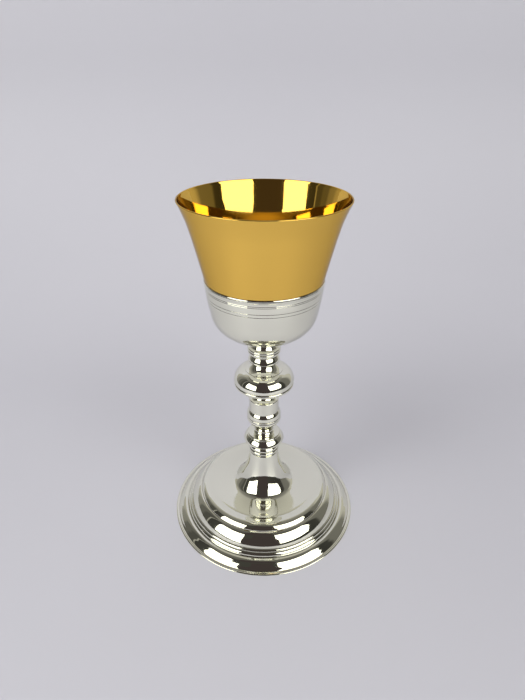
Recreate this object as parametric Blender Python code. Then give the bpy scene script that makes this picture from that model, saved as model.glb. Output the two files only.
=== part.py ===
"""A turned chalice: a gilt cup in a plain undercup, on a moulded stem with a knop, over a
spun foot. Metres, +Z up, origin at the middle of the foot's underside. Sizes are in mm."""

import math

import bmesh
import bpy

MM = 0.001

# Heights above the surface that the foot stands on
HEIGHT = 200.0
SHOULDER_Z = 160.2
UNDERCUP_Z = 126.3
KNOP_TOP_Z = 104.8
KNOP_BASE_Z = 91.6
STEM_BASE_Z = 45.0
PLATE_Z = 18.97

# Radii of the main rings
RIM_R = 41.9
WAIST_R = 30.85
UNDERCUP_R = 31.2
KNOP_R = 17.2
SMALL_KNOP_R = 12.2
NECK_R = 6.2
LOW_NECK_R = 5.2
SEAT_R = 8.0
COLLAR_R = 8.8
HORN_R = 19.0
CREASE_R = 32.4
PLATE_R = 38.6
FOOT_R = 58.0

# Walls, and the gap that touching pieces keep
CUP_WALL = 0.9
UNDERCUP_WALL = 0.7
FOOT_WALL = 1.1
FOOT_RIM = 2.0
GAP = 0.3

# Facets: sides round the axis, and the most that one arc segment turns
BROAD_SIDES = 44
STEM_SIDES = 32
MOST_TURN = math.radians(26)
SHARP = math.radians(28)
MERGE = 0.00001

SILVER = ("silver", (0.80, 0.78, 0.73), 0.10)
GILT = ("gilt", (0.83, 0.56, 0.20), 0.20)


def arc(start, end, rise):
    """Points after start up to end, on an arc whose middle stands rise outside the chord."""
    (r0, z0), (r1, z1) = start, end
    chord = math.hypot(r1 - r0, z1 - z0)
    radius = (chord * chord / 4 + rise * rise) / (2 * rise)
    out_r, out_z = (z0 - z1) / chord, (r1 - r0) / chord
    centre_r = (r0 + r1) / 2 - out_r * (radius - rise)
    centre_z = (z0 + z1) / 2 - out_z * (radius - rise)
    first = math.atan2(z0 - centre_z, r0 - centre_r)
    turn = math.remainder(math.atan2(z1 - centre_z, r1 - centre_r) - first, math.tau)
    segments = math.ceil(abs(turn) / MOST_TURN)
    angles = [first + turn * i / segments for i in range(1, segments + 1)]
    return [
        (centre_r + abs(radius) * math.cos(a), centre_z + abs(radius) * math.sin(a))
        for a in angles
    ]


def outline(start, *steps):
    """A turned outline, top to bottom. A step (r, z) is straight and (r, z, rise) is an arc."""
    points = [start]
    for r, z, *rise in steps:
        points += arc(points[-1], (r, z), rise[0]) if rise else [(r, z)]
    return points


def inset(points, depth):
    """The outline moved inwards by depth, each point along the mean of its two normals."""
    moved = []
    for i, (r, z) in enumerate(points):
        (r0, z0), (r1, z1) = points[max(i - 1, 0)], points[min(i + 1, len(points) - 1)]
        length = math.hypot(r1 - r0, z1 - z0)
        moved.append((r + depth * (z1 - z0) / length, z - depth * (r1 - r0) / length))
    return moved


def metal(name, colour, roughness):
    """A polished metal with the piece's own colour."""
    material = bpy.data.materials.new(name)
    material.use_nodes = True
    shader = material.node_tree.nodes["Principled BSDF"]
    shader.inputs["Base Color"].default_value = (*colour, 1.0)
    shader.inputs["Metallic"].default_value = 1.0
    shader.inputs["Roughness"].default_value = roughness
    return material


def turned(name, points, sides, material, parent):
    """One solid turned about Z from an outline that starts and ends on the axis."""
    shape = bmesh.new()
    corners = [shape.verts.new((r * MM, 0.0, z * MM)) for r, z in points]
    edges = [shape.edges.new(pair) for pair in zip(corners, corners[1:])]
    bmesh.ops.spin(
        shape,
        geom=corners + edges,
        cent=(0, 0, 0),
        axis=(0, 0, 1),
        angle=math.tau,
        steps=sides,
        use_merge=True,
    )
    bmesh.ops.remove_doubles(shape, verts=shape.verts, dist=MERGE)
    bmesh.ops.recalc_face_normals(shape, faces=shape.faces)
    mesh = bpy.data.meshes.new(name)
    shape.to_mesh(mesh)
    shape.free()
    mesh.shade_smooth()
    mesh.set_sharp_from_angle(angle=SHARP)
    mesh.materials.append(material)
    piece = bpy.data.objects.new(name, mesh)
    bpy.context.collection.objects.link(piece)
    piece.parent = parent
    return piece


def undercup_side():
    """The undercup's outer side, from its lip to the seat on the stem."""
    return outline(
        (UNDERCUP_R - 0.2, SHOULDER_Z - GAP),
        (UNDERCUP_R, 159.2),
        (UNDERCUP_R - 0.1, 158.2),
        (30.4, 152.0),
        (28.8, 142.5),
        (20.4, 129.5, 1.95),
        (SEAT_R, UNDERCUP_Z),
    )


def cup_outline():
    """The cup steps in at its waist, where it drops into the undercup."""
    bowl = outline(
        (RIM_R, HEIGHT - 0.4),
        (38.05, 190.0),
        (35.4, 180.0),
        (33.05, 170.0),
        (WAIST_R, SHOULDER_Z),
    )
    seat = inset(undercup_side(), UNDERCUP_WALL + GAP)[2:]
    seat_r = UNDERCUP_R - UNDERCUP_WALL - 2 * GAP
    seat_z = UNDERCUP_Z + UNDERCUP_WALL + GAP
    rim = [(RIM_R - CUP_WALL, HEIGHT), (RIM_R - 0.2, HEIGHT)]
    inner_bowl = [(r - CUP_WALL, z) for r, z in bowl[1:-1]]
    inner_seat = [(seat_r - CUP_WALL, SHOULDER_Z)] + inset(seat, CUP_WALL)[1:-1]
    inside = [(0.0, seat_z + CUP_WALL)] + (inner_bowl + inner_seat)[::-1]
    below = [(seat_r, SHOULDER_Z)] + seat[1:-1] + [(SEAT_R, seat_z), (0.0, seat_z)]
    return inside + rim + bowl + below


def undercup_outline():
    side = undercup_side()
    inner = inset(side, UNDERCUP_WALL)[2:-1]
    lip = [(side[0][0] - UNDERCUP_WALL, side[0][1])]
    floor_z = UNDERCUP_Z + UNDERCUP_WALL
    floor = [(0.0, floor_z), (SEAT_R, floor_z)]
    return floor + inner[::-1] + lip + side + [(0.0, UNDERCUP_Z)]


def upper_stem_outline():
    top = UNDERCUP_Z - GAP
    base = KNOP_TOP_Z + GAP
    return outline(
        (0.0, top),
        (7.9, top),
        (NECK_R, 123.4, -0.15),
        (7.6, 119.4, -0.35),
        (8.6, 119.1),
        (9.2, 118.2),
        (8.85, 117.4),
        (9.1, 116.4),
        (7.6, 114.6),
        (8.9, 111.2, 0.23),
        (NECK_R + 0.2, 110.2),
        (10.9, base, -1.1),
        (0.0, base),
    )


def knop_outline():
    return outline(
        (0.0, KNOP_TOP_Z),
        (11.1, KNOP_TOP_Z),
        (KNOP_R, 98.0, 1.5),
        (KNOP_R - 0.5, 96.4),
        (KNOP_R - 0.2, 95.2),
        (16.2, 94.2),
        (7.0, KNOP_BASE_Z),
        (0.0, KNOP_BASE_Z),
    )


def lower_stem_outline():
    """The baluster, the small knop under it, and the two beads that meet the foot."""
    top = KNOP_BASE_Z - GAP
    return outline(
        (0.0, top),
        (6.0, top),
        (5.6, 88.4),
        (8.4, 84.6, -0.8),
        (8.8, 83.8),
        (8.8, 76.6),
        (10.05, 73.0, 0.33),
        (9.7, 71.9),
        (9.5, 68.6),
        (5.7, 64.0),
        (LOW_NECK_R, 61.6),
        (8.7, 59.2, -0.5),
        (10.0, 58.4),
        (SMALL_KNOP_R, 54.8, 0.28),
        (8.3, 51.0),
        (8.9, 49.0),
        (8.6, 48.0),
        (9.2, 46.8),
        (COLLAR_R, STEM_BASE_Z),
        (0.0, STEM_BASE_Z),
    )


def foot_outline():
    """The horn flares into a dished plate, and mouldings step down from it to the rim."""
    top = STEM_BASE_Z - GAP
    horn = outline(
        (COLLAR_R, top),
        (9.95, 37.0),
        (11.65, 31.25),
        (13.4, 27.4),
        (16.45, 22.85),
        (HORN_R, 20.2),
        (25.7, 19.3),
        (CREASE_R, PLATE_Z),
    )
    steps = outline(
        (PLATE_R, 18.3),
        (40.2, 16.1),
        (41.1, 15.9),
        (42.9, 14.6),
        (46.0, 10.4),
        (46.6, 8.7),
        (48.1, 7.4),
        (49.8, 5.2),
        (51.4, 5.0),
        (53.5, 3.6),
        (55.4, 1.2),
        (57.1, 0.9),
        (FOOT_R, 0.3),
        (FOOT_R, 0.0),
    )
    hollow = outline(
        (0.0, top - FOOT_WALL),
        (COLLAR_R - FOOT_WALL, top - FOOT_WALL),
        (10.6, 30.8),
        (15.6, 22.0),
        (HORN_R - 0.5, 19.0),
        (25.6, 18.2),
        (CREASE_R, PLATE_Z - FOOT_WALL),
        (PLATE_R - FOOT_WALL, 17.2),
        (41.6, 14.2),
        (45.4, 8.0),
        (50.0, 3.8),
        (FOOT_R - FOOT_RIM, 0.0),
    )
    return [(0.0, top)] + horn + steps + hollow[::-1]


def build():
    for old in list(bpy.data.objects):
        bpy.data.objects.remove(old)
    silver, gilt = metal(*SILVER), metal(*GILT)
    chalice = bpy.data.objects.new("chalice", None)
    bpy.context.collection.objects.link(chalice)
    turned("cup", cup_outline(), BROAD_SIDES, gilt, chalice)
    turned("undercup", undercup_outline(), BROAD_SIDES, silver, chalice)
    turned("upper_stem", upper_stem_outline(), STEM_SIDES, silver, chalice)
    turned("knop", knop_outline(), BROAD_SIDES, silver, chalice)
    turned("lower_stem", lower_stem_outline(), STEM_SIDES, silver, chalice)
    turned("foot", foot_outline(), BROAD_SIDES, silver, chalice)


build()
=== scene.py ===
"""Looks of the turned chalice: its pieces with every bead and line, polished silver and
gilding, and a pale table under soft light. Metres, +Z up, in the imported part's frame."""

import math

import bpy
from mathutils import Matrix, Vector


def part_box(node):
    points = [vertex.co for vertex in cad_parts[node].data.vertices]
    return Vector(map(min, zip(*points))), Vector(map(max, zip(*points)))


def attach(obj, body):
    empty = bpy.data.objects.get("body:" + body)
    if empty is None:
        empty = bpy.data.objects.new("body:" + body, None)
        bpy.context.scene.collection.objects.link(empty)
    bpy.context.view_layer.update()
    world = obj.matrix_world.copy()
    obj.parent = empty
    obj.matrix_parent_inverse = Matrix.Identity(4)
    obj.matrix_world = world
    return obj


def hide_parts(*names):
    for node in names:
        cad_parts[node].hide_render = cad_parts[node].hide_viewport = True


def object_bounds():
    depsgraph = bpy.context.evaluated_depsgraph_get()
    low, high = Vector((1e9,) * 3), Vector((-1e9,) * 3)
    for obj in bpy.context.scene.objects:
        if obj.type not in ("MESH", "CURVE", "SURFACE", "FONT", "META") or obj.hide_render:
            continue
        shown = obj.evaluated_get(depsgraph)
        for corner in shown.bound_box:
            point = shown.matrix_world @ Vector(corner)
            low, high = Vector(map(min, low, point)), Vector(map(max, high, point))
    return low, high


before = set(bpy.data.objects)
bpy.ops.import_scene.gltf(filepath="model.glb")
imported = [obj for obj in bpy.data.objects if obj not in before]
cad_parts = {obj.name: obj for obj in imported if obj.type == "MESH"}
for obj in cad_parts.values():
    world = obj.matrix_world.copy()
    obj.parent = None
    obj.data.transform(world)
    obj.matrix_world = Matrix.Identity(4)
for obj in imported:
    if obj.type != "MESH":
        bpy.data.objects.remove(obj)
cad_low, cad_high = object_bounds()

MM = 0.001

# Heights over the table and radii of the main rings, in mm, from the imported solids
HEIGHT = cad_high[2] / MM
FOOT_R = cad_high[0] / MM
UNDERCUP_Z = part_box("undercup")[0][2] / MM
KNOP_TOP_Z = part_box("knop")[1][2] / MM
KNOP_BASE_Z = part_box("knop")[0][2] / MM
STEM_BASE_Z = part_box("lower_stem")[0][2] / MM
RIM_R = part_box("cup")[1][0] / MM
KNOP_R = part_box("knop")[1][0] / MM
SMALL_KNOP_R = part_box("lower_stem")[1][0] / MM
UNDERCUP_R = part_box("undercup")[1][0] / MM

# Other sizes of the turning, in mm
SHOULDER_Z = 160.0
WAIST_R = 30.85
CUP_WALL = 0.8
UNDERCUP_WALL = 0.6
FOOT_WALL = 1.0
FOOT_RIM = 2.0
RIM_ROUND = 0.35
SEAM = 0.12
NECK_R = 6.2
LOW_NECK_R = 5.2
SEAT_R = 8.0
COLLAR_R = 8.8
CREASE_R = 32.4
PLATE_Z = 18.97
PLATE_R = 38.6

# Heights of the lines turned into the undercup, and of the stretch where its inside, and
# the cup that sits in it, follow its outside
UNDERCUP_LINES_Z = (156.8, 156.0, 152.5, 150.8)
SHELL_TOP_Z = 148.0
SHELL_BASE_Z = 128.5

# How finely a piece is turned: sides round the axis, mm and angle between outline points,
# the least angle that counts as a crisp corner, and the radius that buffing gives it
SIDES_BROAD = 320
SIDES_STEM = 160
STEP = 1.2
TURN = math.radians(6)
CORNER = math.radians(14)
BUFFED = 0.1

# How far a piece is out of round, as a share of its radius, how fine that waver is, and
# how close points have to be to become one, in metres
WAVER = 0.0004
WAVER_SCALE = 45.0
WELD = 0.000002


def arc(start, end, rise):
    """Points after start up to end, on an arc whose middle stands rise outside the chord."""
    (r0, z0), (r1, z1) = start, end
    chord = math.hypot(r1 - r0, z1 - z0)
    radius = (chord * chord / 4 + rise * rise) / (2 * rise)
    out_r, out_z = (z0 - z1) / chord, (r1 - r0) / chord
    centre_r = (r0 + r1) / 2 - out_r * (radius - rise)
    centre_z = (z0 + z1) / 2 - out_z * (radius - rise)
    first = math.atan2(z0 - centre_z, r0 - centre_r)
    turn = math.remainder(math.atan2(z1 - centre_z, r1 - centre_r) - first, math.tau)
    count = math.ceil(max(abs(turn) / TURN, chord / STEP, 3))
    angles = [first + turn * i / count for i in range(1, count + 1)]
    return [
        (centre_r + abs(radius) * math.cos(a), centre_z + abs(radius) * math.sin(a))
        for a in angles
    ]


def line(start, end):
    """Points after start up to end, close enough together that shading stays true."""
    (r0, z0), (r1, z1) = start, end
    count = math.ceil(max(math.hypot(r1 - r0, z1 - z0) / STEP, 1))
    return [(r0 + (r1 - r0) * i / count, z0 + (z1 - z0) * i / count) for i in range(1, count + 1)]


def outline(start, *steps):
    """A turned outline, top to bottom. A step (r, z) is straight and (r, z, rise) is an arc."""
    points = [start]
    for r, z, *rise in steps:
        points += arc(points[-1], (r, z), rise[0]) if rise else line(points[-1], (r, z))
    return points


def inset(points, depth):
    """The outline moved inwards by depth, each point along the mean of its two normals."""
    moved = []
    for i, (r, z) in enumerate(points):
        (r0, z0), (r1, z1) = points[max(i - 1, 0)], points[min(i + 1, len(points) - 1)]
        length = math.hypot(r1 - r0, z1 - z0)
        moved.append((r + depth * (z1 - z0) / length, z - depth * (r1 - r0) / length))
    return moved


def turn_at(points, i):
    """The angle that the outline turns through at point i, positive where it bulges out."""
    (r0, z0), (r1, z1), (r2, z2) = points[i - 1], points[i], points[i + 1]
    cross = (r1 - r0) * (z2 - z1) - (z1 - z0) * (r2 - r1)
    along = (r1 - r0) * (r2 - r1) + (z1 - z0) * (z2 - z1)
    return -math.atan2(cross, along)


def softened(points, radius):
    """Every crisp corner rounded over, as buffing leaves it, but by less than half an edge."""
    soft = [points[0]]
    for i in range(1, len(points) - 1):
        if abs(turn_at(points, i)) < CORNER:
            soft.append(points[i])
            continue
        (r0, z0), (r1, z1), (r2, z2) = points[i - 1], points[i], points[i + 1]
        before, after = math.hypot(r1 - r0, z1 - z0), math.hypot(r2 - r1, z2 - z1)
        cut0, cut1 = min(radius / before, 0.45), min(radius / after, 0.45)
        start = (r1 + (r0 - r1) * cut0, z1 + (z0 - z1) * cut0)
        end = (r1 + (r2 - r1) * cut1, z1 + (z2 - z1) * cut1)
        for t in (0.0, 0.25, 0.5, 0.75, 1.0):
            a, b, c = (1 - t) ** 2, 2 * t * (1 - t), t * t
            soft.append((a * start[0] + b * r1 + c * end[0], a * start[1] + b * z1 + c * end[1]))
    return soft + [points[-1]]


def radius_at(points, height):
    """The radius of a falling outline at a height."""
    for (r0, z0), (r1, z1) in zip(points, points[1:]):
        if z0 >= height > z1:
            return r0 + (r1 - r0) * (z0 - height) / (z0 - z1)
    return points[-1][0]


def lines_cut(points, cuts, depth=0.085, width=0.42):
    """Fine V-shaped lines turned into a falling side at the given heights. Points of the
    side that are too near a line make way for it."""
    side = [p for p in points if all(abs(p[1] - cut) > 0.7 * width for cut in cuts)]
    for cut in cuts:
        for k in (-2, -1, 0, 1, 2):
            z = cut + width * k / 4
            side.append((radius_at(points, z) - depth * (1 - abs(k) / 2), z))
    return sorted(side, key=lambda p: -p[1])


# ---------------------------------------------------------------- outlines


def undercup_side():
    """The undercup's outer side: a raised lip, pairs of turned lines, and a round bottom."""
    side = outline(
        (31.0, SHOULDER_Z - SEAM),
        (UNDERCUP_R, 159.2, 0.08),
        (31.15, 158.4, 0.08),
        (30.95, 158.1),
        (30.4, 152.0, 0.05),
        (29.3, 145.0, 0.08),
        (28.8, 142.5),
        (20.4, 129.5, 1.95),
        (SEAT_R, UNDERCUP_Z, 0.3),
    )
    return lines_cut(side, UNDERCUP_LINES_Z)


def cup_outline():
    """The cup steps in at its waist, where it drops into the undercup."""
    bowl = outline(
        (RIM_R, HEIGHT - RIM_ROUND),
        (38.05, 190.0, -0.12),
        (35.4, 180.0, -0.03),
        (33.05, 170.0),
        (WAIST_R, SHOULDER_Z),
    )
    hidden = [p for p in inset(undercup_side(), UNDERCUP_WALL + SEAM) if p[1] < SHELL_TOP_Z]
    seat_r = UNDERCUP_R - UNDERCUP_WALL - 4 * SEAM
    seat_z = UNDERCUP_Z + UNDERCUP_WALL + SEAM
    inner_bowl = outline(
        (RIM_R - CUP_WALL, HEIGHT - RIM_ROUND),
        (37.4, 190.0, -0.16),
        (34.85, 180.0, -0.1),
        (32.45, 170.0, -0.03),
        (29.6, 158.0, 0.1),
        (28.0, 146.0, 0.2),
        (26.9, 140.8, 0.1),
        (18.4, 130.6, 1.7),
        (0.0, seat_z + CUP_WALL, 0.5),
    )
    lip = arc(inner_bowl[0], (RIM_R - CUP_WALL / 2, HEIGHT), 0.1)
    lip += arc(lip[-1], (RIM_R, HEIGHT - RIM_ROUND), 0.1)
    below = [(seat_r, SHOULDER_Z)] + hidden[:-1] + [(SEAT_R, seat_z), (0.0, seat_z)]
    return inner_bowl[::-1] + lip + bowl[1:] + below


def undercup_outline():
    """A thin shell that grips the cup at its lip and carries it on a flat floor."""
    side = undercup_side()
    inner = inset(side, UNDERCUP_WALL)
    wall = [p for p in inner if SHELL_BASE_Z < p[1] < SHELL_TOP_Z]
    lip = [(29.8, 152.0), (side[0][0] - UNDERCUP_WALL, side[0][1])]
    floor = [(0.0, UNDERCUP_Z + UNDERCUP_WALL), (SEAT_R, UNDERCUP_Z + UNDERCUP_WALL)]
    return floor + wall[::-1] + lip + side + [(0.0, UNDERCUP_Z)]


def upper_stem_outline():
    """Neck, double bead, quarter-round ring, and the second neck that flares to the knop."""
    top = UNDERCUP_Z - SEAM
    base = KNOP_TOP_Z + SEAM
    return outline(
        (0.0, top),
        (7.9, top),
        (6.6, 125.6, -0.1),
        (NECK_R, 123.4, -0.1),
        (7.6, 119.4, -0.35),
        (8.6, 119.1, -0.05),
        (9.2, 118.2, 0.25),
        (8.85, 117.4, 0.2),
        (9.1, 116.4, 0.25),
        (8.5, 115.3, 0.25),
        (7.6, 114.6),
        (7.6, 114.3),
        (8.9, 111.2, 0.23),
        (8.7, 110.6, 0.15),
        (6.4, 110.3),
        (10.9, base, -1.1),
        (0.0, base),
    )


def knop_outline():
    """A flattened round knop, with a groove and a bead under its widest ring."""
    return outline(
        (0.0, KNOP_TOP_Z),
        (11.1, KNOP_TOP_Z),
        (KNOP_R, 98.0, 1.5),
        (16.8, 96.5, 0.2),
        (17.0, 95.3, 0.3),
        (16.3, 94.4, 0.3),
        (7.0, KNOP_BASE_Z, 0.3),
        (0.0, KNOP_BASE_Z),
    )


def lower_stem_outline():
    """The baluster and its belt, the thin neck, the small knop, and two beads."""
    top = KNOP_BASE_Z - SEAM
    return outline(
        (0.0, top),
        (6.0, top),
        (5.6, 88.4, -0.15),
        (8.4, 84.6, -0.8),
        (8.8, 84.0, 0.15),
        (8.8, 76.6),
        (10.05, 73.0, 0.33),
        (9.75, 71.9, 0.1),
        (9.9, 71.0, 0.1),
        (9.5, 68.6, 0.4),
        (5.7, 64.0, -0.1),
        (LOW_NECK_R, 61.6, -0.1),
        (6.9, 59.6, -0.4),
        (8.7, 59.2, -0.1),
        (9.8, 58.6, 0.25),
        (9.8, 58.4),
        (10.1, 58.3),
        (SMALL_KNOP_R, 54.8, 0.28),
        (11.7, 54.0, 0.1),
        (8.3, 51.0, 0.2),
        (8.2, 50.4, -0.1),
        (8.9, 48.2, 0.4),
        (8.7, 47.9),
        (9.2, 46.8, 0.2),
        (COLLAR_R, 45.6, 0.25),
        (COLLAR_R, STEM_BASE_Z),
        (0.0, STEM_BASE_Z),
    )


def foot_outline():
    """The horn flares into a dished plate, and mouldings step down from it to the rim."""
    top = STEM_BASE_Z - SEAM
    face = outline(
        (0.0, top),
        (COLLAR_R, top),
        (9.95, 37.0, -0.12),
        (11.65, 31.25, -0.13),
        (13.4, 27.4, -0.04),
        (16.45, 22.85, -0.18),
        (17.9, 21.28, -0.02),
        (20.6, 20.1, -0.225),
        (CREASE_R - 0.3, PLATE_Z + 0.02, -0.106),
        (CREASE_R, PLATE_Z - 0.03),
        (CREASE_R + 0.3, PLATE_Z),
        (36.5, 19.02, 0.01),
        (PLATE_R, 18.3, 0.13),
        (40.1, 16.5, 0.09),
        (40.2, 16.1),
        (41.1, 15.9),
        (42.9, 14.6, 0.1),
        (46.0, 10.4, 0.187),
        (46.6, 8.75, 0.06),
        (46.9, 8.65),
        (48.0, 7.4, 0.2),
        (48.3, 7.3),
        (49.6, 5.4, 0.24),
        (50.2, 5.0, -0.03),
        (51.4, 5.0),
        (53.5, 3.6, 0.15),
        (55.6, 1.4, 0.13),
        (56.1, 0.9),
        (57.1, 0.75, 0.05),
        (FOOT_R, 0.2, 0.2),
        (FOOT_R, 0.0),
    )
    hollow = outline(
        (0.0, top - FOOT_WALL),
        (COLLAR_R - FOOT_WALL, top - FOOT_WALL),
        (10.6, 31.0, -0.4),
        (18.3, 19.4, -0.7),
        (CREASE_R, PLATE_Z - FOOT_WALL, -0.25),
        (PLATE_R - FOOT_WALL, 17.2),
        (41.6, 14.2, 0.2),
        (45.4, 8.0, 0.4),
        (50.0, 3.8),
        (FOOT_R - FOOT_RIM, 0.0, 0.2),
    )
    return face + hollow[::-1]


# ---------------------------------------------------------------- turning


def turning_tree():
    """Turns an outline about Z into one closed, smooth skin."""
    tree = bpy.data.node_groups.new("turning", "GeometryNodeTree")
    inputs = {
        "Outline": "Geometry",
        "Sides": "Int",
        "Waver": "Float",
        "Waver scale": "Float",
        "Weld": "Float",
        "Metal": "Material",
    }
    for name, kind in inputs.items():
        tree.interface.new_socket(name, in_out="INPUT", socket_type="NodeSocket" + kind)
    tree.interface.new_socket("Piece", in_out="OUTPUT", socket_type="NodeSocketGeometry")
    nodes, links = tree.nodes, tree.links
    given = nodes.new("NodeGroupInput")

    def node(kind, *wired, **settings):
        made = nodes.new(kind)
        for name, value in settings.items():
            setattr(made, name, value)
        for socket, source in wired:
            if isinstance(source, bpy.types.NodeSocket):
                links.new(source, made.inputs[socket])
            else:
                made.inputs[socket].default_value = source
        return made

    def maths(operation, a, b=0.0):
        return node("ShaderNodeMath", (0, a), (1, b), operation=operation).outputs[0]

    count = node("GeometryNodeAttributeDomainSize", ("Geometry", given.outputs["Outline"]))
    rounds = maths("ADD", given.outputs["Sides"], 1.0)
    grid = node(
        "GeometryNodeMeshGrid",
        ("Vertices X", rounds),
        ("Vertices Y", count.outputs["Point Count"]),
    )
    index = node("GeometryNodeInputIndex").outputs[0]
    column = maths("FLOOR", maths("DIVIDE", index, count.outputs["Point Count"]))
    row = maths("FLOORED_MODULO", index, count.outputs["Point Count"])
    angle = maths("MULTIPLY", maths("DIVIDE", column, given.outputs["Sides"]), math.tau)

    def sampled(data_type, value):
        return node(
            "GeometryNodeSampleIndex",
            ("Geometry", given.outputs["Outline"]),
            ("Value", value),
            ("Index", row),
            data_type=data_type,
            domain="POINT",
        ).outputs["Value"]

    place = node("GeometryNodeInputPosition").outputs[0]
    split = node("ShaderNodeSeparateXYZ", (0, sampled("FLOAT_VECTOR", place)))
    radius = split.outputs["X"]
    on_circle = node(
        "ShaderNodeCombineXYZ",
        ("X", maths("MULTIPLY", radius, maths("COSINE", angle))),
        ("Y", maths("MULTIPLY", radius, maths("SINE", angle))),
        ("Z", split.outputs["Z"]),
    ).outputs[0]
    noise = node(
        "ShaderNodeTexNoise",
        ("Vector", on_circle),
        ("Scale", given.outputs["Waver scale"]),
        ("Detail", 1.0),
    )
    # The waver only moves a skin towards the axis, so no piece grows past its true radius
    ripple = maths("SUBTRACT", noise.outputs["Fac"], 1.0)
    shift = maths("MULTIPLY", maths("MULTIPLY", ripple, given.outputs["Waver"]), radius)
    inwards = node(
        "ShaderNodeCombineXYZ",
        ("X", maths("MULTIPLY", shift, maths("COSINE", angle))),
        ("Y", maths("MULTIPLY", shift, maths("SINE", angle))),
    ).outputs[0]
    moved = node("ShaderNodeVectorMath", (0, on_circle), (1, inwards), operation="ADD").outputs[0]
    skin = node("GeometryNodeSetPosition", ("Geometry", grid.outputs["Mesh"]), ("Position", moved))
    # The groove depth travels onto the skin, for tarnish and painted shade in the metals
    hollows = node("GeometryNodeInputNamedAttribute", ("Name", "hollow"), data_type="FLOAT")
    kept = node(
        "GeometryNodeStoreNamedAttribute",
        ("Geometry", skin.outputs[0]),
        ("Name", "hollow"),
        ("Value", sampled("FLOAT", hollows.outputs[0])),
        data_type="FLOAT",
        domain="POINT",
    )
    welded = node(
        "GeometryNodeMergeByDistance",
        ("Geometry", kept.outputs[0]),
        ("Distance", given.outputs["Weld"]),
    )
    outward = node("GeometryNodeFlipFaces", ("Mesh", welded.outputs[0]))
    smooth = node("GeometryNodeSetShadeSmooth", ("Geometry", outward.outputs[0]))
    real = node("GeometryNodeRealizeInstances", ("Geometry", smooth.outputs[0]))
    finish = node(
        "GeometryNodeSetMaterial",
        ("Geometry", real.outputs[0]),
        ("Material", given.outputs["Metal"]),
    )
    out = nodes.new("NodeGroupOutput")
    links.new(finish.outputs[0], out.inputs["Piece"])
    return tree


def hollows_of(points, reach=0.5):
    """How deep in a groove each point of the outline lies, from 0 to 1; the metals darken grooves
    by it with tarnish and painted shade.
    """
    bends = [0.0] + [-turn_at(points, i) for i in range(1, len(points) - 1)] + [0.0]
    depth = []
    for r, z in points:
        near = sum(
            bend * max(0.0, 1 - math.hypot(r - a, z - b) / reach)
            for bend, (a, b) in zip(bends, points)
        )
        depth.append(min(max(near, 0.0), 1.0))
    return depth


def turned(tree, name, points, sides, metal):
    """One finished piece, turned from its outline, that stands for the CAD node of its name."""
    points = softened(points, BUFFED)
    mesh = bpy.data.meshes.new(name)
    corners = [(r * MM, 0.0, z * MM) for r, z in points]
    mesh.from_pydata(corners, [(i, i + 1) for i in range(len(corners) - 1)], [])
    # Groove depth, which the metals use for tarnish and painted shade in grooves
    hollow = mesh.attributes.new("hollow", "FLOAT", "POINT")
    hollow.data.foreach_set("value", hollows_of(points))
    guide = bpy.data.objects.new(name, mesh)
    bpy.context.scene.collection.objects.link(guide)
    lathe = guide.modifiers.new("turning", "NODES")
    lathe.node_group = tree
    sizes = {
        "Sides": sides,
        "Waver": WAVER,
        "Waver scale": WAVER_SCALE,
        "Weld": WELD,
        "Metal": metal,
    }
    for item in tree.interface.items_tree:
        if item.name in sizes:
            lathe[item.identifier] = sizes[item.name]
    graph = bpy.context.evaluated_depsgraph_get()
    skin = bpy.data.meshes.new_from_object(guide.evaluated_get(graph))
    bpy.data.objects.remove(guide)
    skin.name = name
    piece = bpy.data.objects.new(name + "_turned", skin)
    bpy.context.scene.collection.objects.link(piece)
    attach(piece, "root")
    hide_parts(name)


# ---------------------------------------------------------------- finishes


def shader_of(name):
    """A new material with its tree, its shader and short hands to add and join nodes."""
    material = bpy.data.materials.new(name)
    material.use_nodes = True
    tree = material.node_tree
    shader = tree.nodes["Principled BSDF"]

    def add(kind, **inputs):
        node = tree.nodes.new(kind)
        for key, value in inputs.items():
            socket = node.inputs[key.replace("_", " ")]
            if isinstance(value, bpy.types.NodeSocket):
                tree.links.new(value, socket)
            else:
                socket.default_value = value
        return node

    return material, tree, shader, add


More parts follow.
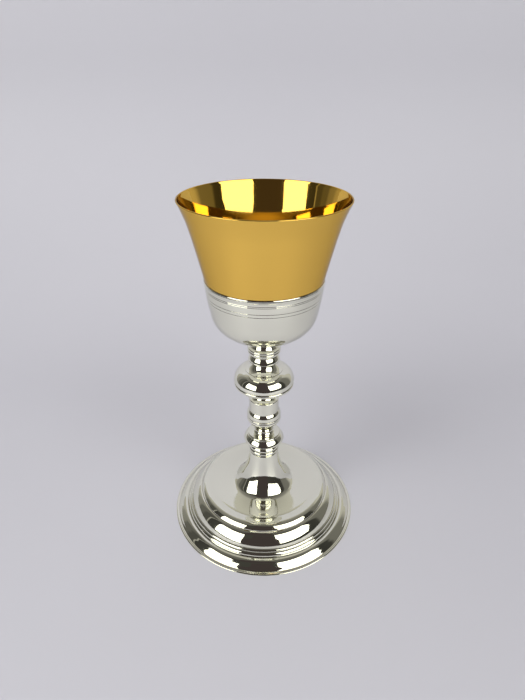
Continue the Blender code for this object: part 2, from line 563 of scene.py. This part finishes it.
def polished(name, clean, dull, dark, edge, rough, rough_spots, rough_hollow):
    """Polished metal: fine buffing rings, faint handling smears, grooves darkened partly by
    tarnish and partly by painted shade, and an edge colour where it is seen at a low angle."""
    material, tree, shader, add = shader_of(name)
    place = add("ShaderNodeTexCoord").outputs["Object"]
    hollow = add("ShaderNodeAttribute")
    hollow.attribute_name = "hollow"
    smears = add("ShaderNodeTexNoise", Vector=place, Scale=38.0, Detail=4.0, Roughness=0.6)
    patches = add("ShaderNodeTexNoise", Vector=place, Scale=14.0, Detail=2.0)
    squash = add("ShaderNodeMapping", Vector=place, Scale=(60.0, 60.0, 2600.0))
    rings = add("ShaderNodeTexNoise", Vector=squash.outputs[0], Scale=1.0, Detail=3.0)
    scratches = add("ShaderNodeTexNoise", Vector=place, Scale=900.0, Detail=2.0)

    def mapped(value, low, high, to_low, to_high):
        return add(
            "ShaderNodeMapRange",
            Value=value,
            From_Min=low,
            From_Max=high,
            To_Min=to_low,
            To_Max=to_high,
        ).outputs[0]

    def mixed(factor, a, b):
        mix = tree.nodes.new("ShaderNodeMix")
        mix.data_type = "RGBA"
        for socket, value in zip((mix.inputs[0], mix.inputs[6], mix.inputs[7]), (factor, a, b)):
            if isinstance(value, bpy.types.NodeSocket):
                tree.links.new(value, socket)
            else:
                socket.default_value = (*value, 1.0) if isinstance(value, tuple) else value
        return mix.outputs[2]

    body = mixed(mapped(patches.outputs["Fac"], 0.35, 0.7, 0.0, 1.0), clean, dull)
    # Painted shade: grooves darkened towards the dark colour, partly tarnish, partly standing in
    # for the shade in them
    groove_tarnish_and_shade = mapped(hollow.outputs["Fac"], 0.15, 1.0, 0.0, 0.6)
    tree.links.new(mixed(groove_tarnish_and_shade, body, dark), shader.inputs["Base Color"])

    base = mapped(smears.outputs["Fac"], 0.42, 0.75, rough, rough_spots)
    worn = add("ShaderNodeMath", Value=base)
    worn.operation = "ADD"
    tree.links.new(mapped(hollow.outputs["Fac"], 0.2, 1.0, 0.0, rough_hollow), worn.inputs[1])
    tree.links.new(worn.outputs[0], shader.inputs["Roughness"])

    grain = add("ShaderNodeMath", Value=rings.outputs["Fac"])
    grain.operation = "ADD"
    tree.links.new(mapped(scratches.outputs["Fac"], 0.4, 0.8, 0.0, 0.6), grain.inputs[1])
    bump = add("ShaderNodeBump", Height=grain.outputs[0], Strength=0.02, Distance=0.0001)
    tree.links.new(bump.outputs[0], shader.inputs["Normal"])
    shader.inputs["Metallic"].default_value = 1.0
    shader.inputs["Specular Tint"].default_value = (*edge, 1.0)
    return material


def plain(name, colour, roughness, gloss):
    """One colour all over, more or less glossy."""
    material, _, shader, _ = shader_of(name)
    shader.inputs["Base Color"].default_value = (*colour, 1.0)
    shader.inputs["Roughness"].default_value = roughness
    shader.inputs["Specular IOR Level"].default_value = gloss
    return material


def glowing(name, colour, strength):
    """A card that gives light of its own."""
    material = bpy.data.materials.new(name)
    material.use_nodes = True
    tree = material.node_tree
    tree.nodes.clear()
    glow = tree.nodes.new("ShaderNodeEmission")
    glow.inputs["Color"].default_value = (*colour, 1.0)
    glow.inputs["Strength"].default_value = strength
    out = tree.nodes.new("ShaderNodeOutputMaterial")
    tree.links.new(glow.outputs[0], out.inputs[0])
    return material


# ---------------------------------------------------------------- pieces

TURNING = turning_tree()
SILVER = polished(
    "silver",
    clean=(0.95, 0.945, 0.82),
    dull=(0.92, 0.915, 0.78),
    # Groove colour: tarnish, and painted shade that darkens the turned lines
    dark=(0.42, 0.38, 0.30),
    edge=(0.82, 0.82, 0.84),
    rough=0.035,
    rough_spots=0.07,
    rough_hollow=0.08,
)
GILT = polished(
    "gilt",
    clean=(0.98, 0.62, 0.125),
    dull=(0.96, 0.60, 0.12),
    # Groove colour: tarnish, and painted shade that darkens the turned lines
    dark=(0.50, 0.24, 0.04),
    edge=(0.58, 0.56, 0.53),
    rough=0.05,
    rough_spots=0.10,
    rough_hollow=0.15,
)

turned(TURNING, "cup", cup_outline(), SIDES_BROAD, GILT)
turned(TURNING, "undercup", undercup_outline(), SIDES_BROAD, SILVER)
turned(TURNING, "upper_stem", upper_stem_outline(), SIDES_STEM, SILVER)
turned(TURNING, "knop", knop_outline(), SIDES_BROAD, SILVER)
turned(TURNING, "lower_stem", lower_stem_outline(), SIDES_STEM, SILVER)
turned(TURNING, "foot", foot_outline(), SIDES_BROAD, SILVER)


# ---------------------------------------------------------------- table and light


def staged(name, corners, faces, material, shown=False):
    """A part of the setting: seen by the camera, or only mirrored in the metal."""
    mesh = bpy.data.meshes.new(name)
    mesh.from_pydata(corners, [], faces)
    mesh.materials.append(material)
    mesh.shade_smooth()
    panel = bpy.data.objects.new(name, mesh)
    bpy.context.scene.collection.objects.link(panel)
    panel.visible_camera = shown
    panel.visible_diffuse = shown


def around(azimuth, distance, height):
    """A point of the room. Azimuth is in degrees from the front (-Y) towards the right (+X)."""
    a = math.radians(azimuth)
    return (distance * math.sin(a), -distance * math.cos(a), height)


def bent_card(name, distance, edges, material, strip=6):
    """An upright card bent round the chalice, one strip every few degrees. An edge is
    (azimuth, bottom, top)."""
    corners = []
    for (a0, low0, top0), (a1, low1, top1) in zip(edges, edges[1:]):
        count = math.ceil((a1 - a0) / strip)
        for t in (i / count for i in range(count)):
            turn = a0 + (a1 - a0) * t
            corners.append(around(turn, distance, low0 + (low1 - low0) * t))
            corners.append(around(turn, distance, top0 + (top1 - top0) * t))
    corners += [around(a1, distance, low1), around(a1, distance, top1)]
    faces = [(2 * i, 2 * i + 2, 2 * i + 3, 2 * i + 1) for i in range(len(corners) // 2 - 1)]
    staged(name, corners, faces, material)


def flat_card(name, corners, material):
    """One flat face through the corners."""
    staged(name, corners, [tuple(range(len(corners)))], material)


def paper_sweep(name, material, half_width=0.46, front=-0.45, fold=0.14, bend=0.26, top=0.605):
    """Pale paper that lies on the table and curves up behind the chalice."""
    bend_steps = 24
    side = [(front, 0.0), (0.0, 0.0)]
    for i in range(bend_steps + 1):
        a = math.radians(90 * i / bend_steps)
        side.append((fold + bend * math.sin(a), bend * (1 - math.cos(a))))
    side.append((fold + bend, top))
    corners = [(x, y, z) for y, z in side for x in (-half_width, half_width)]
    faces = [(2 * i, 2 * i + 1, 2 * i + 3, 2 * i + 2) for i in range(len(side) - 1)]
    staged(name, corners, faces, material, shown=True)


def soft_lamp(name, azimuth, power, distance=0.97, height=1.17, width=0.8):
    """Light for the paper only: the metal shows the soft boxes instead."""
    light = bpy.data.lights.new(name, "AREA")
    light.size = width
    light.energy = power
    lamp = bpy.data.objects.new(name, light)
    bpy.context.scene.collection.objects.link(lamp)
    lamp.location = around(azimuth, distance, height)
    lamp.rotation_euler = (-lamp.location).to_track_quat("-Z", "Y").to_euler()
    lamp.visible_camera = False
    lamp.visible_glossy = False


def graded(name, measure, low, high, stops):
    """A glow whose grey follows stops along a measure of the place."""
    material = glowing(name, (1.0, 1.0, 1.0), 1.0)
    tree = material.node_tree
    place = tree.nodes.new("ShaderNodeTexCoord")
    split = tree.nodes.new("ShaderNodeSeparateXYZ")
    tree.links.new(place.outputs["Object"], split.inputs[0])
    share = tree.nodes.new("ShaderNodeMapRange")
    share.inputs["From Min"].default_value = low
    share.inputs["From Max"].default_value = high
    tree.links.new(measure(tree, split), share.inputs["Value"])
    shade = tree.nodes.new("ShaderNodeValToRGB")
    while len(shade.color_ramp.elements) < len(stops):
        shade.color_ramp.elements.new(0.5)
    for element, (at, grey) in zip(shade.color_ramp.elements, stops):
        element.position = (at - low) / (high - low)
        element.color = (*(grey * part for part in WARM_GREY), 1.0)
    tree.links.new(share.outputs[0], shade.inputs[0])
    tree.links.new(shade.outputs[0], tree.nodes["Emission"].inputs["Color"])
    return material


def azimuth_of(tree, split):
    """Degrees round from the front (-Y), positive towards the right (+X)."""
    forward = tree.nodes.new("ShaderNodeMath")
    forward.operation = "MULTIPLY"
    forward.inputs[1].default_value = -1.0
    tree.links.new(split.outputs["Y"], forward.inputs[0])
    turn = tree.nodes.new("ShaderNodeMath")
    turn.operation = "ARCTAN2"
    tree.links.new(split.outputs["X"], turn.inputs[0])
    tree.links.new(forward.outputs[0], turn.inputs[1])
    degrees = tree.nodes.new("ShaderNodeMath")
    degrees.operation = "DEGREES"
    tree.links.new(turn.outputs[0], degrees.inputs[0])
    return degrees.outputs[0]


def depth_of(tree, split):
    """Metres behind the middle of the room."""
    return split.outputs["Y"]


# The slightly warm cast of every grey in the room
WARM_GREY = (1.0, 0.97, 0.88)

# The room in metres: how far its walls and its soft boxes stand off, its ceiling over the
# table, and the distance of the person in front
WALL_R = 3.1
SOFT_BOX_R = 3.0
CEILING_Z = 3.45
FIGURE_R = 0.9

# Greys of the room round the chalice, by azimuth, and of its ceiling, by depth
ROOM_GREYS = ((-140, 0.46), (-128, 0.40), (-121, 0.33), (-118, 0.23), (-108, 0.20), (-106, 0.11))
ROOM_GREYS += ((-97, 0.11), (-94, 0.07), (-85.5, 0.07), (-84.8, 0.42), (-83.6, 0.42), (-83, 0.04))
ROOM_GREYS += ((-72, 0.05), (0, 0.05), (72, 0.035), (82, 0.045), (86, 0.15), (109, 0.165))
ROOM_GREYS += ((113, 0.30), (118, 0.44), (124, 0.48), (140, 0.48))
CEILING_GREYS = ((-WALL_R, 0.05), (-2.0, 0.08), (-0.92, 0.13), (0.0, 0.17), (1.0, 0.22))
CEILING_GREYS += ((1.5, 0.28), (2.3, 0.47), (WALL_R, 0.53))

PAPER = plain("paper", (0.60, 0.595, 0.63), 0.5, 0.3)
ROOM = graded("dim_room", azimuth_of, -180, 180, ROOM_GREYS)
CEILING = graded("dim_ceiling", depth_of, -WALL_R, WALL_R, CEILING_GREYS)
COAT = glowing("dark_coat", (0.050, 0.040, 0.040), 1.0)
SOFT_BOX = glowing("soft_box", (1.0, 1.0, 0.92), 2.6)

paper_sweep("paper_sweep", PAPER)
bent_card("room_front", WALL_R, [(-140, -1.2, CEILING_Z), (140, -1.2, CEILING_Z)], ROOM)
bent_card("left_soft_box", SOFT_BOX_R, [(-69, 0.18, 2.50), (-29.5, 0.18, 2.36)], SOFT_BOX)
bent_card(
    "right_soft_box",
    SOFT_BOX_R,
    [(17.5, 1.20, 3.15), (22, 0.45, 3.15), (63, 0.48, 3.18), (69, 1.20, 3.18)],
    SOFT_BOX,
)
flat_card(
    "ceiling",
    [(x * WALL_R, y * WALL_R, CEILING_Z) for x, y in ((-1, -1), (1, -1), (1, 1), (-1, 1))],
    CEILING,
)
# Somebody in a dark coat who stands in front with raised hands
flat_card(
    "dark_figure",
    [
        around(-30, FIGURE_R, -0.1),
        around(21, FIGURE_R, -0.1),
        around(21, FIGURE_R, 0.36),
        around(17, FIGURE_R, 0.50),
        around(10, FIGURE_R, 0.84),
        around(-15, FIGURE_R, 0.84),
        around(-17, FIGURE_R, 0.50),
        around(-30, FIGURE_R, 0.36),
    ],
    COAT,
)
flat_card(
    "dark_hands",
    [
        (-0.17, -0.27, 0.27),
        (0.08, -0.27, 0.27),
        (0.08, -0.26, 0.50),
        (0.05, -0.25, 0.66),
        (-0.01, -0.25, 0.74),
        (-0.08, -0.25, 0.74),
        (-0.14, -0.25, 0.66),
        (-0.17, -0.26, 0.50),
    ],
    COAT,
)
soft_lamp("left_lamp", azimuth=-46, power=9.6)
soft_lamp("right_lamp", azimuth=38, power=5.9)

world = bpy.data.worlds.new("room")
bpy.context.scene.world = world
world.use_nodes = True
sky = world.node_tree.nodes["Background"]
sky.inputs["Color"].default_value = (0.50, 0.495, 0.51, 1.0)
sky.inputs["Strength"].default_value = 1.0
bpy.context.scene.view_settings.view_transform = "Standard"

# ---------------------------------------------------------------- camera

# Place in metres, dip under level and roll in degrees, and lens in mm
CAMERA_AT = Vector((-0.0009, -0.2379, 0.2541))
CAMERA_DIP = 30.10
CAMERA_ROLL = 0.064
LENS = 25.4

eye = bpy.data.cameras.new("camera")
eye.sensor_width = 36.0
eye.lens = LENS
eye.clip_start = 0.01
camera = bpy.data.objects.new("camera", eye)
bpy.context.scene.collection.objects.link(camera)
camera.location = CAMERA_AT
camera.rotation_euler = (math.radians(90 - CAMERA_DIP), 0, 0)
camera.rotation_euler.rotate_axis("Z", math.radians(CAMERA_ROLL))
bpy.context.scene.camera = camera
